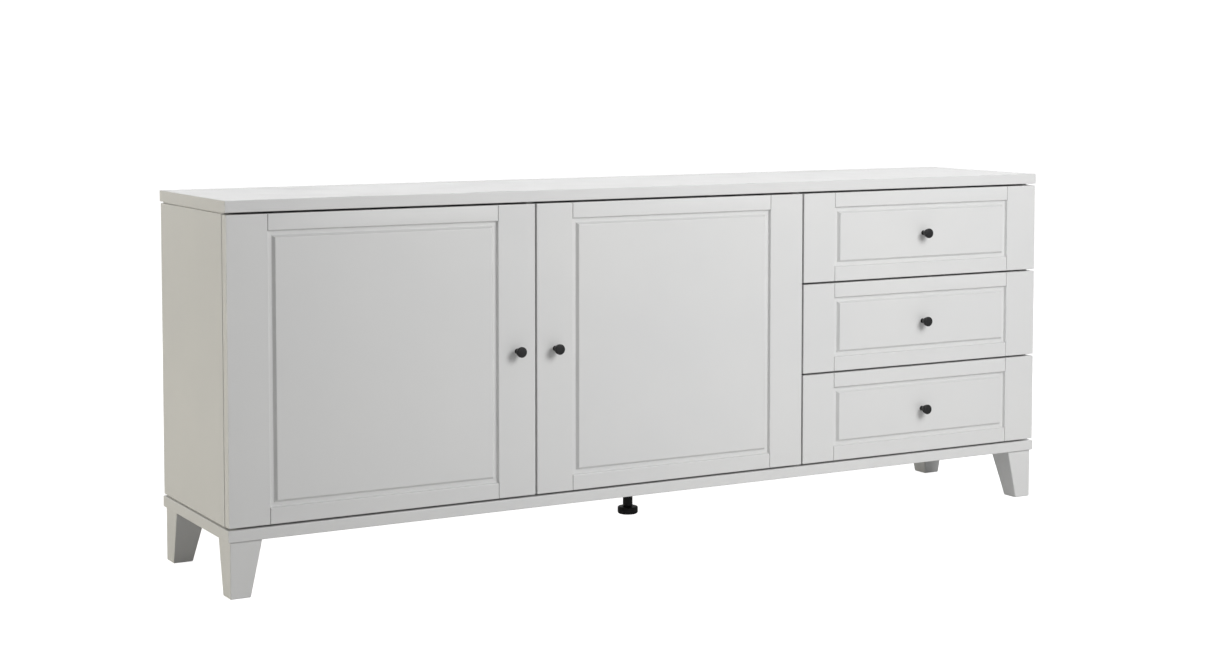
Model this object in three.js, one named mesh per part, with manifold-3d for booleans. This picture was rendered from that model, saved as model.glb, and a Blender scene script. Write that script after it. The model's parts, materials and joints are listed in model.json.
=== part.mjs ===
// Sideboard buffet: two doors and three drawers under a long top board, on four
// tapered block legs with a height-adjustable support foot under the middle.
//
// Millimetres, +Z up, +X to the right, -Y towards the person who opens it. The
// origin is on the floor under the middle of the whole piece, knobs included.

import * as THREE from 'three';
import { mergeVertices } from 'three/addons/utils/BufferGeometryUtils.js';
import Module from 'manifold-3d';

const wasm = await Module();
wasm.setup();

// ---------------------------------------------------------------- sizes

// Overall
const WIDTH = 1900;              // top and base boards, end to end
const DEPTH = 375;               // top and base boards, front to back
const HEIGHT = 730;              // floor to the upper face of the top board
const LEG_HEIGHT = 106;          // floor to the underside of the base board

// Boards of the carcass
const BOARD = 22;                // top and base boards
const PANEL = 18;                // side panels, partitions and shelves
const BACK = 5;                  // back panel
const BACK_INSET = 1;            // back panel behind the rear edges of the boards
const BACK_REBATE = 8;           // how far the back panel enters the side panels
const END_OVERHANG = 2;          // boards beyond the side panels
const SHADOW_HEIGHT = 3;         // shadow line along the side panels' ends
const SHADOW_DEPTH = 5;
const EASE = 1.5;                // eased edges of boards and fronts
const JOIN = 0.2;                // glue line or contact line between fixed pieces

// Doors and drawer fronts
const FRONT = 22;                // thickness
const FRONT_SETBACK = 0.5;       // fronts behind the front edges of the boards
const FRONT_GAP = 4;             // between fronts, and to the boards
const BUMPER_GAP = 3;            // behind a closed front
const STILE = 80;                // width of the milled frame's uprights
const RAIL = 30;                 // height of its top and bottom
const RING_DEPTH = 6.5;          // milled ring between frame and field
const RING_OUTER_SLOPE = 2;
const RING_FLOOR = 7.5;
const RING_INNER_SLOPE = 4.5;
const SEAM_WIDTH = 2;            // V-line where a stile meets a rail
const SEAM_DEPTH = 1.5;
const DRAWERS = ['top', 'middle', 'bottom'];

// Knobs
const KNOB_PROJECTION = 23;
const KNOB_FACE_R = 10.5;
const KNOB_NECK_R = 4.9;
const KNOB_STUD_R = 2;
const KNOB_STUD_LENGTH = 15;
const STUD_CLEARANCE = 0.2;

// Shelves and their pins
const SHELF_CLEARANCE = 1.5;     // each end of a shelf to the panel
const SHELF_FRONT_GAP = 20;      // shelf behind the carcass front
const PIN_R = 2.5;
const PIN_WEB = 2;               // wood left between pins that face each other
const PIN_OUT = 9;               // length under the shelf
const PIN_COLLAR_LIP = 1;        // collar beyond the pin's radius
const PIN_COLLAR = 1;            // its thickness
const PIN_EDGE = 37;             // pin from the shelf's front or back edge
const PIN_CLEARANCE = 0.15;

// Hinges: concealed, with a cup in the door and an arm on the carcass
const PIVOT_FROM_EDGE = 7;       // turning axis from the door's hinged edge
const PIVOT_FROM_FACE = 5;       // turning axis behind the door's face
const HINGE_FROM_END = 80;       // hinge centre from the door's top or bottom
const CUP_R = 17.5;
const CUP_DEPTH = 11.5;
const CUP_WALL = 1;
const CUP_CENTRE = 22.5;         // cup centre from the door's hinged edge
const CUP_CLEARANCE = 0.15;
const CUP_FLANGE = 1;            // flange on the door's inner face
const CUP_LIP = 1.5;             // flange beyond the cup's radius
const CUP_EAR_WIDTH = 22;
const CUP_EAR_HEIGHT = 56;
const ARM_WIDTH = 14;
const ARM_LIFT = 8;              // arm over its base plate
const ARM_NOSE_FROM_AXIS = 12.5; // front end of the arm behind the turning axis
const ARM_NOSE_IN = 8;           // near side of the nose from the turning axis, less its edge distance
const ARM_NOSE = 7;              // least thickness of the nose
const ARM_SLOPE = 8;             // the arm's rear end slopes down over this length
const ARM_NECK = 12;             // and bends to its nose over this one
const PLATE = 3;
const PLATE_HEIGHT = 44;
const PLATE_LENGTH = 42;
const PLATE_SHORT = 4;           // the wide plate ends ahead of the arm's rear end
const PLATE_SETBACK = 22;        // plate behind the carcass front

// Drawer boxes and runners
const DRAWER_SIDE = 15;
const DRAWER_BACK = 15;
const DRAWER_BOTTOM = 5;
const DRAWER_SIDE_CLEARANCE = 1.75;
const DRAWER_REAR_GAP = 26.5;    // behind a closed drawer box
const DRAWER_ABOVE_FRONT_EDGE = 14; // box above the lower edge of its front
const DRAWER_BELOW_FRONT_TOP = 32;  // box below the upper edge of its front
const BOTTOM_UP = 12;            // bottom panel above the sides' lower edges
const GROOVE_DEPTH = 6;
const GROOVE_CLEARANCE = 0.25;
const RUNNER_HEIGHT = 18;
const RUNNER_ABOVE_MIDDLE = 7;   // runner above the middle of the drawer box
const RUNNER_OUT = 9.5;
const RUNNER_SETBACK = 24;       // behind the carcass front
const RUNNER_REAR_GAP = 35.5;    // to the back panel
const RUNNER_CLEARANCE = 0.35;
const RUNNER_GROOVE_STOP = 14;   // solid wood left ahead of the runner groove

// Legs
const LEG_TOP = 63;
const LEG_FOOT = 40;
const LEG_INSET = 4.5;           // from the edges of the base board
const LEG_STUD_R = 4;
const LEG_STUD = 14;
const LEG_STUD_ROOT = 5;         // length of the stud inside the leg

// Support foot under the middle
const SLEEVE_R = 10.3;
const SLEEVE_LENGTH = 64;
const SLEEVE_PLUG_R = 5;
const SLEEVE_PLUG = 12;
const SPINDLE_R = 5;
const SPINDLE_IN = 46;
const BORE_ROOM = 4;             // bore beyond the end of the spindle
const SPINDLE_CLEARANCE = 0.3;
const DISC_R = 21.5;
const DISC = 15;
const DISC_ROUND = 5;

// ---------------------------------------------------------------- places

const depthWithKnobs = DEPTH + KNOB_PROJECTION - FRONT_SETBACK;
const boardBack = depthWithKnobs / 2;
const boardFront = boardBack - DEPTH;
const boardMiddle = (boardBack + boardFront) / 2;
const face = boardFront + FRONT_SETBACK;            // visible face of the fronts
const carcassFront = face + FRONT + BUMPER_GAP;
const backPanelFace = boardBack - BACK_INSET - BACK;

const baseTop = LEG_HEIGHT + BOARD;
const topUnder = HEIGHT - BOARD;
const frontsLow = baseTop + FRONT_GAP;
const frontsHigh = topUnder - FRONT_GAP;
const frontsHeight = frontsHigh - frontsLow;

const sideOuter = WIDTH / 2 - END_OVERHANG;
const sideInner = sideOuter - PANEL;
const bays = 3;
const frontWidth = (2 * sideOuter - (bays - 1) * FRONT_GAP) / bays;
const partitionAt = frontWidth / 2 + FRONT_GAP / 2;
const drawerFrontHeight = (frontsHeight - (DRAWERS.length - 1) * FRONT_GAP) / DRAWERS.length;
const shelfLevel = frontsLow + frontsHeight / 2;    // middle of a shelf's thickness
const pinIn = (PANEL - PIN_WEB) / 2;
const drawerLength = backPanelFace - DRAWER_REAR_GAP - face - FRONT;
const runnerLength = backPanelFace - RUNNER_REAR_GAP - carcassFront - RUNNER_SETBACK;

// ---------------------------------------------------------------- materials

const lacquer = new THREE.MeshStandardMaterial({ color: '#dfe0e0', roughness: 0.45, metalness: 0 });
const lacquerInside = new THREE.MeshStandardMaterial({ color: '#d6d6d4', roughness: 0.55, metalness: 0 });
const blackMetal = new THREE.MeshStandardMaterial({ color: '#232425', roughness: 0.4, metalness: 0.6 });
const blackPlastic = new THREE.MeshStandardMaterial({ color: '#1b1b1c', roughness: 0.5, metalness: 0 });
const steel = new THREE.MeshStandardMaterial({ color: '#b9bcc0', roughness: 0.3, metalness: 1 });
const beech = new THREE.MeshStandardMaterial({ color: '#c9a67c', roughness: 0.6, metalness: 0 });

// ---------------------------------------------------------------- helpers

// A closed three.js geometry as a solid that can be cut and joined.
function solid(geometry) {
  const bare = geometry.clone();
  bare.deleteAttribute('normal');
  bare.deleteAttribute('uv');
  const merged = mergeVertices(bare, 1e-4);
  return new wasm.Manifold(new wasm.Mesh({
    numProp: 3,
    vertProperties: new Float32Array(merged.attributes.position.array),
    triVerts: new Uint32Array(merged.index.array),
  }));
}

function toGeometry(manifold) {
  const mesh = manifold.getMesh();
  const geometry = new THREE.BufferGeometry();
  geometry.setAttribute('position', new THREE.BufferAttribute(new Float32Array(mesh.vertProperties), 3));
  geometry.setIndex(new THREE.BufferAttribute(new Uint32Array(mesh.triVerts), 1));
  geometry.computeVertexNormals();
  return geometry;
}

function cut(geometry, cutters) {
  const rest = cutters.reduce((body, cutter) => body.subtract(solid(cutter)), solid(geometry));
  return toGeometry(rest);
}

function join(...geometries) {
  const whole = geometries.slice(1).reduce((body, next) => body.add(solid(next)), solid(geometries[0]));
  return toGeometry(whole);
}

// A plain box between two corners.
function block(x0, x1, y0, y1, z0, z1) {
  const box = new THREE.BoxGeometry(x1 - x0, y1 - y0, z1 - z0);
  return box.translate((x0 + x1) / 2, (y0 + y1) / 2, (z0 + z1) / 2);
}

// A box with its front and back edges eased, thickness along +Z from zero.
function easedSlab(width, height, thickness, ease = EASE) {
  const x = width / 2 - ease;
  const y = height / 2 - ease;
  const outline = new THREE.Shape([
    new THREE.Vector2(-x, -y), new THREE.Vector2(x, -y), new THREE.Vector2(x, y), new THREE.Vector2(-x, y),
  ]);
  const slab = new THREE.ExtrudeGeometry(outline, {
    depth: thickness - 2 * ease,
    bevelEnabled: true,
    bevelSize: ease,
    bevelThickness: ease,
    bevelSegments: 1,
  });
  return slab.translate(0, 0, ease);
}

// A turned piece on the Z axis from points of [radius, height].
function turned(points, segments = 24) {
  const outline = points.map(([r, z]) => new THREE.Vector2(r, z));
  return new THREE.LatheGeometry(outline, segments).rotateX(Math.PI / 2);
}

function rod(radius, z0, z1, segments = 16) {
  return turned([[0, z0], [radius, z0], [radius, z1], [0, z1]], segments);
}

// A four-sided tapered block along Y: half sizes at y0 and at y1.
function taperAlongY(y0, halfX0, halfZ0, y1, halfX1, halfZ1) {
  const box = new THREE.BoxGeometry(2, 2, 2);
  const at = box.attributes.position;
  for (let i = 0; i < at.count; i += 1) {
    const near = at.getY(i) < 0;
    at.setXYZ(
      i,
      at.getX(i) * (near ? halfX0 : halfX1),
      near ? y0 : y1,
      at.getZ(i) * (near ? halfZ0 : halfZ1),
    );
  }
  return box;
}

// A flat outline of [x, y] points, extruded along Z about its middle.
function plateOf(points, thickness) {
  const outline = new THREE.Shape(points.map(([x, y]) => new THREE.Vector2(x, y)));
  return new THREE.ExtrudeGeometry(outline, { depth: thickness, bevelEnabled: false })
    .translate(0, 0, -thickness / 2);
}

function piece(name, geometry, material, x = 0, y = 0, z = 0) {
  const mesh = new THREE.Mesh(geometry, material);
  mesh.name = name;
  mesh.position.set(x, y, z);
  return mesh;
}

function group(x, y, z, ...children) {
  const assembly = new THREE.Group();
  assembly.position.set(x, y, z);
  assembly.add(...children);
  return assembly;
}

// ---------------------------------------------------------------- milled fronts

// A one-piece front, face at y = 0 looking to -Y, centred on x and z. A ring is
// milled between the frame and the field, and short V-lines mark where the
// stiles would meet the rails.
function milledFront(width, height) {
  const slab = easedSlab(width, height, FRONT).rotateX(Math.PI / 2).translate(0, FRONT, 0);
  const ringX = width / 2 - STILE;
  const ringZ = height / 2 - RAIL;
  const above = 1;                                   // cutters start ahead of the face
  const outerRise = (RING_OUTER_SLOPE / RING_DEPTH) * above;
  const innerRise = (RING_INNER_SLOPE / RING_DEPTH) * above;
  const fieldEdge = RING_OUTER_SLOPE + RING_FLOOR + RING_INNER_SLOPE;
  const fieldFoot = RING_OUTER_SLOPE + RING_FLOOR;
  const pocket = solid(taperAlongY(
    -above, ringX + outerRise, ringZ + outerRise,
    RING_DEPTH, ringX - RING_OUTER_SLOPE, ringZ - RING_OUTER_SLOPE,
  ));
  const field = solid(taperAlongY(
    -above, ringX - fieldEdge - innerRise, ringZ - fieldEdge - innerRise,
    RING_DEPTH, ringX - fieldFoot, ringZ - fieldFoot,
  ));
  let front = solid(slab).subtract(pocket.subtract(field));
  const seam = (x, z0, z1) => {
    const half = SEAM_WIDTH / 2;
    const vee = plateOf([
      [x - half, 0], [x - half, -above], [x + half, -above], [x + half, 0], [x, SEAM_DEPTH],
    ], z1 - z0);
    return solid(vee.translate(0, 0, (z0 + z1) / 2));
  };
  for (const side of [-1, 1]) {
    front = front.subtract(seam(side * ringX, ringZ - RING_OUTER_SLOPE, height / 2 + above));
    front = front.subtract(seam(side * ringX, -height / 2 - above, -ringZ + RING_OUTER_SLOPE));
  }
  return toGeometry(front);
}

// The hole for a knob's stud, along Y through a front.
function studHole(x, z) {
  return rod(KNOB_STUD_R + STUD_CLEARANCE, -1, FRONT + 1, 12).rotateX(-Math.PI / 2).translate(x, 0, z);
}

// A knob with its threaded stud, seated on the plane y = 0.
function knob() {
  const profile = [
    [0, -KNOB_STUD_LENGTH],
    [KNOB_STUD_R, -KNOB_STUD_LENGTH],
    [KNOB_STUD_R, JOIN],
    [KNOB_NECK_R + 0.5, JOIN],
    [KNOB_NECK_R, 1.5],
    [KNOB_NECK_R, KNOB_PROJECTION * 0.35],
    [KNOB_NECK_R + 1.5, KNOB_PROJECTION * 0.5],
    [KNOB_FACE_R - 1, KNOB_PROJECTION * 0.8],
    [KNOB_FACE_R, KNOB_PROJECTION * 0.87],
    [KNOB_FACE_R, KNOB_PROJECTION - 1],
    [KNOB_FACE_R - 1, KNOB_PROJECTION],
    [0, KNOB_PROJECTION],
  ];
  return turned(profile).rotateX(Math.PI / 2);
}

// ---------------------------------------------------------------- carcass

function pinHole(x, y, z, towards) {
  const hole = rod(PIN_R + PIN_CLEARANCE, -1, pinIn + PIN_CLEARANCE, 12);
  return hole.rotateY(towards * Math.PI / 2).translate(x, y, z);
}

const shelfFront = carcassFront + SHELF_FRONT_GAP;
const shelfBack = backPanelFace - JOIN;
const pinLevel = shelfLevel - PANEL / 2 - JOIN - PIN_R;
const pinRows = [shelfFront + PIN_EDGE, shelfBack - PIN_EDGE];

function topBoard() {
  return piece('top_board', easedSlab(WIDTH, DEPTH, BOARD), lacquer, 0, boardMiddle, topUnder);
}

function legCentre(sx, sy) {
  const from = LEG_INSET + LEG_TOP / 2;
  return [sx * (WIDTH / 2 - from), boardMiddle + sy * (DEPTH / 2 - from)];
}

function baseBoard() {
  const board = easedSlab(WIDTH, DEPTH, BOARD);
  const holes = [];
  for (const sx of [-1, 1]) {
    for (const sy of [-1, 1]) {
      const [x, y] = legCentre(sx, sy);
      holes.push(rod(LEG_STUD_R + STUD_CLEARANCE, -1, LEG_STUD + 1).translate(x, y - boardMiddle, 0));
    }
  }
  holes.push(rod(SLEEVE_PLUG_R + STUD_CLEARANCE, -1, SLEEVE_PLUG + 1));
  return piece('base_board', cut(board, holes), lacquer, 0, boardMiddle, LEG_HEIGHT);
}

// A side panel, left for sx = -1; only the left one carries shelf pins.
function sidePanel(name, sx) {
  const [low, high] = [baseTop + JOIN, topUnder - JOIN];
  const [out, inn] = [sx * sideOuter, sx * sideInner];
  const [x0, x1] = [Math.min(out, inn), Math.max(out, inn)];
  const panel = block(x0, x1, carcassFront, boardBack - BACK_INSET, low, high);
  const shadow = (z0, z1) => {
    const edge = out - sx * SHADOW_DEPTH;
    return block(Math.min(edge, out + sx), Math.max(edge, out + sx), carcassFront - 1, boardBack + 1, z0, z1);
  };
  const rebateEdge = inn + sx * (BACK_REBATE + JOIN);
  const rebate = block(
    Math.min(rebateEdge, inn - sx), Math.max(rebateEdge, inn - sx),
    backPanelFace - JOIN, boardBack + 1, low - 1, high + 1,
  );
  const cutters = [shadow(low - 1, low + SHADOW_HEIGHT), shadow(high - SHADOW_HEIGHT, high + 1), rebate];
  if (sx < 0) {
    cutters.push(...pinRows.map((y) => pinHole(inn, y, pinLevel, sx)));
  }
  return piece(name, cut(panel, cutters), lacquer);
}

// A partition; pinned sides are the faces that carry shelf pins.
function partition(name, at, pinnedSides) {
  const panel = block(
    at - PANEL / 2, at + PANEL / 2, carcassFront, backPanelFace - JOIN, baseTop + JOIN, topUnder - JOIN,
  );
  const holes = pinnedSides.flatMap((side) => (
    pinRows.map((y) => pinHole(at + side * PANEL / 2, y, pinLevel, -side))
  ));
  return piece(name, cut(panel, holes), lacquerInside);
}

function backPanel() {
  const reach = sideInner + BACK_REBATE;
  const board = block(-reach, reach, backPanelFace, backPanelFace + BACK, baseTop + JOIN, topUnder - JOIN);
  return piece('back_panel', board, lacquerInside);
}

// A shelf between the faces x0 and x1 with its four pins.
function shelf(bay, x0, x1) {
  const board = block(
    x0 + SHELF_CLEARANCE, x1 - SHELF_CLEARANCE, shelfFront, shelfBack,
    shelfLevel - PANEL / 2, shelfLevel + PANEL / 2,
  );
  const collar = PIN_R + PIN_COLLAR_LIP;
  const pin = () => turned([
    [0, -pinIn], [PIN_R, -pinIn], [PIN_R, JOIN], [collar, JOIN],
    [collar, PIN_COLLAR], [PIN_R, PIN_COLLAR], [PIN_R, PIN_OUT], [0, PIN_OUT],
  ], 12);
  const pins = [];
  for (const [side, x, turn] of [['left', x0, 1], ['right', x1, -1]]) {
    for (const [row, y] of [['front', pinRows[0]], ['back', pinRows[1]]]) {
      const laid = pin().rotateY(turn * Math.PI / 2);
      pins.push(piece(`shelf_pin_${bay}_${side}_${row}`, laid, steel, x, y, pinLevel));
    }
  }
  return [piece(`shelf_${bay}`, board, lacquerInside), ...pins];
}

// ---------------------------------------------------------------- legs and foot

// A block leg: its two outer faces are upright, its two inner faces taper.
function leg(name, sx, sy) {
  const half = LEG_TOP / 2;
  const taper = LEG_TOP - LEG_FOOT;
  const height = LEG_HEIGHT - JOIN;
  const body = block(-half, half, -half, half, 0, height);
  const at = body.attributes.position;
  for (let i = 0; i < at.count; i += 1) {
    if (at.getZ(i) < height / 2) {
      at.setX(i, at.getX(i) + (Math.sign(at.getX(i)) === sx ? 0 : sx * taper));
      at.setY(i, at.getY(i) + (Math.sign(at.getY(i)) === sy ? 0 : sy * taper));
    }
  }
  const stud = rod(LEG_STUD_R, height - LEG_STUD_ROOT, height + LEG_STUD);
  const [x, y] = legCentre(sx, sy);
  return piece(name, join(body, stud), lacquer, x, y, 0);
}

// A sleeve plugged into the base board, open at its lower end.
function footSleeve() {
  const low = LEG_HEIGHT - SLEEVE_LENGTH;
  const high = LEG_HEIGHT - JOIN;
  const bore = SPINDLE_R + SPINDLE_CLEARANCE;
  const boreEnd = low + SPINDLE_IN + BORE_ROOM;
  const profile = [
    [0, boreEnd], [bore, boreEnd], [bore, low], [SLEEVE_R, low], [SLEEVE_R, high],
    [SLEEVE_PLUG_R, high], [SLEEVE_PLUG_R, high + SLEEVE_PLUG], [0, high + SLEEVE_PLUG],
  ];
  return piece('centre_foot_sleeve', turned(profile), blackPlastic, 0, boardMiddle, 0);
}

// The foot itself: a disc with a threaded spindle that screws out of the sleeve.
function footDisc() {
  const high = LEG_HEIGHT - SLEEVE_LENGTH - JOIN;
  const low = high - DISC;
  const round = Math.min(DISC_ROUND, DISC / 3);
  const corner = round * (1 - Math.SQRT1_2);
  const profile = [
    [0, low], [DISC_R - round, low], [DISC_R - corner, low + corner], [DISC_R, low + round],
    [DISC_R, high - round], [DISC_R - corner, high - corner], [DISC_R - round, high],
    [SPINDLE_R, high], [SPINDLE_R, high + SPINDLE_IN], [0, high + SPINDLE_IN],
  ];
  return piece('centre_foot_disc', turned(profile), blackPlastic, 0, boardMiddle, 0);
}

// ---------------------------------------------------------------- doors

// Places in a door are given from its turning axis: inwards along the door, and
// backwards from the axis. The hinged edge is at -PIVOT_FROM_EDGE.
const doorBack = FRONT - PIVOT_FROM_FACE;
const cupAt = CUP_CENTRE - PIVOT_FROM_EDGE;

function hingeLevels() {
  return [['upper', frontsHigh - HINGE_FROM_END], ['lower', frontsLow + HINGE_FROM_END]];
}

// The cup, mouth to +Y, its flange lying on the plane y = 0.
function hingeCup() {
  const pot = turned([
    [0, -CUP_DEPTH], [CUP_R, -CUP_DEPTH], [CUP_R, JOIN], [CUP_R + CUP_LIP, JOIN],
    [CUP_R + CUP_LIP, JOIN + CUP_FLANGE], [0, JOIN + CUP_FLANGE],
  ]).rotateX(-Math.PI / 2);
  const ears = block(
    -CUP_EAR_WIDTH / 2, CUP_EAR_WIDTH / 2, JOIN, JOIN + CUP_FLANGE, -CUP_EAR_HEIGHT / 2, CUP_EAR_HEIGHT / 2,
  );
  const hollow = rod(CUP_R - CUP_WALL, -CUP_DEPTH + CUP_WALL, CUP_FLANGE + 2, 24).rotateX(-Math.PI / 2);
  return cut(join(pot, ears), [hollow]);
}

// The arm and its base plate, from the turning axis: x inwards, y backwards.
// carcassAt is where the panel's face lies on that x.
function hingeArm(carcassAt) {
  const foot = carcassAt + JOIN;
  const deck = foot + PLATE;
  const crown = deck + ARM_LIFT;
  const noseNear = Math.max(ARM_NOSE_IN + PIVOT_FROM_EDGE, foot);
  const noseFar = Math.max(crown, noseNear + ARM_NOSE);
  const plateFrom = doorBack + BUMPER_GAP + PLATE_SETBACK;
  const plateTo = plateFrom + PLATE_LENGTH;
  const arm = plateOf([
    [foot, plateTo], [deck, plateTo], [crown, plateTo - ARM_SLOPE], [crown, plateFrom],
    [noseFar, plateFrom - ARM_NECK], [noseFar, ARM_NOSE_FROM_AXIS], [noseNear, ARM_NOSE_FROM_AXIS],
    [noseNear, doorBack + BUMPER_GAP + PLATE], [foot, plateFrom - ARM_NECK],
  ], ARM_WIDTH);
  const plate = block(foot, deck, plateFrom, plateTo - PLATE_SHORT, -PLATE_HEIGHT / 2, PLATE_HEIGHT / 2);
  return join(arm, plate);
}

// A door and its half of the hinges turn about the group's own Z axis.
// inward is +1 for a door that hinges on its left edge, -1 on its right.
function door(name, edgeX, inward, panelFace) {
  const axisX = edgeX + inward * PIVOT_FROM_EDGE;
  const axisY = face + PIVOT_FROM_FACE;
  const middle = inward * (frontWidth / 2 - PIVOT_FROM_EDGE);
  const knobX = inward * (frontWidth - STILE / 2 - PIVOT_FROM_EDGE);
  const centreZ = frontsLow + frontsHeight / 2;
  const cupHole = (z) => rod(CUP_R + CUP_CLEARANCE, -CUP_DEPTH - CUP_CLEARANCE, 1, 24)
    .rotateX(-Math.PI / 2).translate(inward * cupAt - middle, FRONT, z - centreZ);
  const levels = hingeLevels();
  const front = cut(milledFront(frontWidth, frontsHeight), [
    studHole(knobX - middle, 0), ...levels.map(([, z]) => cupHole(z)),
  ]);
  const carcassAt = inward * (panelFace - axisX);
  const armGeometry = hingeArm(carcassAt);
  if (inward < 0) {
    armGeometry.scale(-1, 1, 1);
    armGeometry.index.array.reverse();
  }
  const leaf = group(
    axisX, axisY, 0,
    piece(`${name}_front`, front, lacquer, middle, -PIVOT_FROM_FACE, centreZ),
    piece(`${name}_knob`, knob(), blackMetal, knobX, -PIVOT_FROM_FACE, centreZ),
    ...levels.map(([level, z]) => (
      piece(`${name}_hinge_cup_${level}`, hingeCup(), steel, inward * cupAt, doorBack, z)
    )),
  );
  const arms = levels.map(([level, z]) => (
    piece(`${name}_hinge_arm_${level}`, armGeometry.clone(), steel, axisX, axisY, z)
  ));
  return [leaf, ...arms];
}

// ---------------------------------------------------------------- drawers

const drawerBayLeft = partitionAt + PANEL / 2;
const drawerBayRight = sideInner;
const drawerBayMiddle = (drawerBayLeft + drawerBayRight) / 2;
const drawerBoxWidth = drawerBayRight - drawerBayLeft - 2 * DRAWER_SIDE_CLEARANCE;
const drawerBoxHeight = drawerFrontHeight - DRAWER_ABOVE_FRONT_EDGE - DRAWER_BELOW_FRONT_TOP;
const runnerUp = drawerBoxHeight / 2 + RUNNER_ABOVE_MIDDLE;

// One drawer, in a group whose origin is the lower front edge of the box, on
// the drawer bay's middle, at the front's inner face.
function drawer(which, frontLow) {
  const boxLow = frontLow + DRAWER_ABOVE_FRONT_EDGE;
  const grooveLow = BOTTOM_UP - GROOVE_CLEARANCE;
  const grooveHigh = BOTTOM_UP + DRAWER_BOTTOM + GROOVE_CLEARANCE;
  const innerHalf = drawerBoxWidth / 2 - DRAWER_SIDE;
  const bottomHalf = innerHalf + GROOVE_DEPTH - GROOVE_CLEARANCE;
  const backFrom = drawerLength - DRAWER_BACK;
  const bottomTo = backFrom + GROOVE_DEPTH;
  const frontCentreX = sideOuter - frontWidth / 2 - drawerBayMiddle;
  const frontCentreZ = drawerFrontHeight / 2 - DRAWER_ABOVE_FRONT_EDGE;

  const bottomSlot = block(
    -frontCentreX - bottomHalf - GROOVE_CLEARANCE, -frontCentreX + bottomHalf + GROOVE_CLEARANCE,
    FRONT - GROOVE_DEPTH - GROOVE_CLEARANCE, FRONT + 1, grooveLow - frontCentreZ, grooveHigh - frontCentreZ,
  );
  const front = cut(milledFront(frontWidth, drawerFrontHeight), [studHole(0, 0), bottomSlot]);

  const side = (sx) => {
    const [out, inn] = [sx * drawerBoxWidth / 2, sx * innerHalf];
    const board = block(Math.min(out, inn), Math.max(out, inn), JOIN, drawerLength, 0, drawerBoxHeight);
    const slotEnd = inn + sx * GROOVE_DEPTH;
    const slot = block(
      Math.min(slotEnd, inn - sx), Math.max(slotEnd, inn - sx),
      -1, bottomTo + GROOVE_CLEARANCE, grooveLow, grooveHigh,
    );
    const runnerEnd = drawerBayRight - drawerBayMiddle - JOIN - RUNNER_OUT - RUNNER_CLEARANCE;
    const runnerHalf = RUNNER_HEIGHT / 2 + RUNNER_CLEARANCE;
    const groove = block(
      Math.min(sx * runnerEnd, out + sx), Math.max(sx * runnerEnd, out + sx),
      RUNNER_GROOVE_STOP, drawerLength + 1, runnerUp - runnerHalf, runnerUp + runnerHalf,
    );
    return cut(board, [slot, groove]);
  };
  const backBoard = block(
    -innerHalf + JOIN, innerHalf - JOIN, backFrom, drawerLength, 0, drawerBoxHeight,
  );
  const backSlot = block(
    -innerHalf - 1, innerHalf + 1, backFrom - 1, bottomTo + GROOVE_CLEARANCE, grooveLow, grooveHigh,
  );
  const bottom = block(
    -bottomHalf, bottomHalf, -GROOVE_DEPTH, bottomTo, BOTTOM_UP, BOTTOM_UP + DRAWER_BOTTOM,
  );
  return group(
    drawerBayMiddle, face + FRONT, boxLow,
    piece(`drawer_${which}_front`, front, lacquer, frontCentreX, -FRONT, frontCentreZ),
    piece(`drawer_${which}_knob`, knob(), blackMetal, frontCentreX, -FRONT, frontCentreZ),
    piece(`drawer_${which}_side_left`, side(-1), lacquerInside),
    piece(`drawer_${which}_side_right`, side(1), lacquerInside),
    piece(`drawer_${which}_back`, cut(backBoard, [backSlot]), lacquerInside),
    piece(`drawer_${which}_bottom`, bottom, lacquerInside),
  );
}

// The two wooden runners of a drawer, fixed to the partition and the side panel.
function runners(which, frontLow) {
  const level = frontLow + DRAWER_ABOVE_FRONT_EDGE + runnerUp;
  return [['left', drawerBayLeft, 1], ['right', drawerBayRight, -1]].map(([side, x, sx]) => {
    const [near, far] = [sx * JOIN, sx * (JOIN + RUNNER_OUT)];
    const batten = block(
      Math.min(near, far), Math.max(near, far), 0, runnerLength, -RUNNER_HEIGHT / 2, RUNNER_HEIGHT / 2,
    );
    return piece(`drawer_${which}_runner_${side}`, batten, beech, x, carcassFront + RUNNER_SETBACK, level);
  });
}

// ---------------------------------------------------------------- assembly

const sideboard = new THREE.Group();
sideboard.name = 'sideboard';

sideboard.add(
  topBoard(),
  baseBoard(),
  sidePanel('side_panel_left', -1),
  sidePanel('side_panel_right', 1),
  partition('partition_left', -partitionAt, [-1, 1]),
  partition('partition_right', partitionAt, [-1]),
  backPanel(),
  ...shelf('left', -sideInner, -partitionAt - PANEL / 2),
  ...shelf('middle', -partitionAt + PANEL / 2, partitionAt - PANEL / 2),
);

for (const [end, sx] of [['left', -1], ['right', 1]]) {
  for (const [row, sy] of [['front', -1], ['back', 1]]) {
    sideboard.add(leg(`leg_${row}_${end}`, sx, sy));
  }
}
sideboard.add(footSleeve(), footDisc());

sideboard.add(
  ...door('door_left', -sideOuter, 1, -sideInner),
  ...door('door_right', frontWidth / 2, -1, partitionAt - PANEL / 2),
);

DRAWERS.forEach((which, index) => {
  const frontLow = frontsHigh - (index + 1) * drawerFrontHeight - index * FRONT_GAP;
  sideboard.add(drawer(which, frontLow), ...runners(which, frontLow));
});

export default sideboard;
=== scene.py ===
"""A long lacquered sideboard: milled doors and drawer fronts, round dark knobs, block legs.

Run as a script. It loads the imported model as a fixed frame, models every visible piece
around it, and sets up a plain studio.
"""

import json
import math
import random

import bmesh
import bpy
from bpy.props import FloatProperty, FloatVectorProperty, IntProperty, PointerProperty
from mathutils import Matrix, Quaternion, Vector


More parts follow.
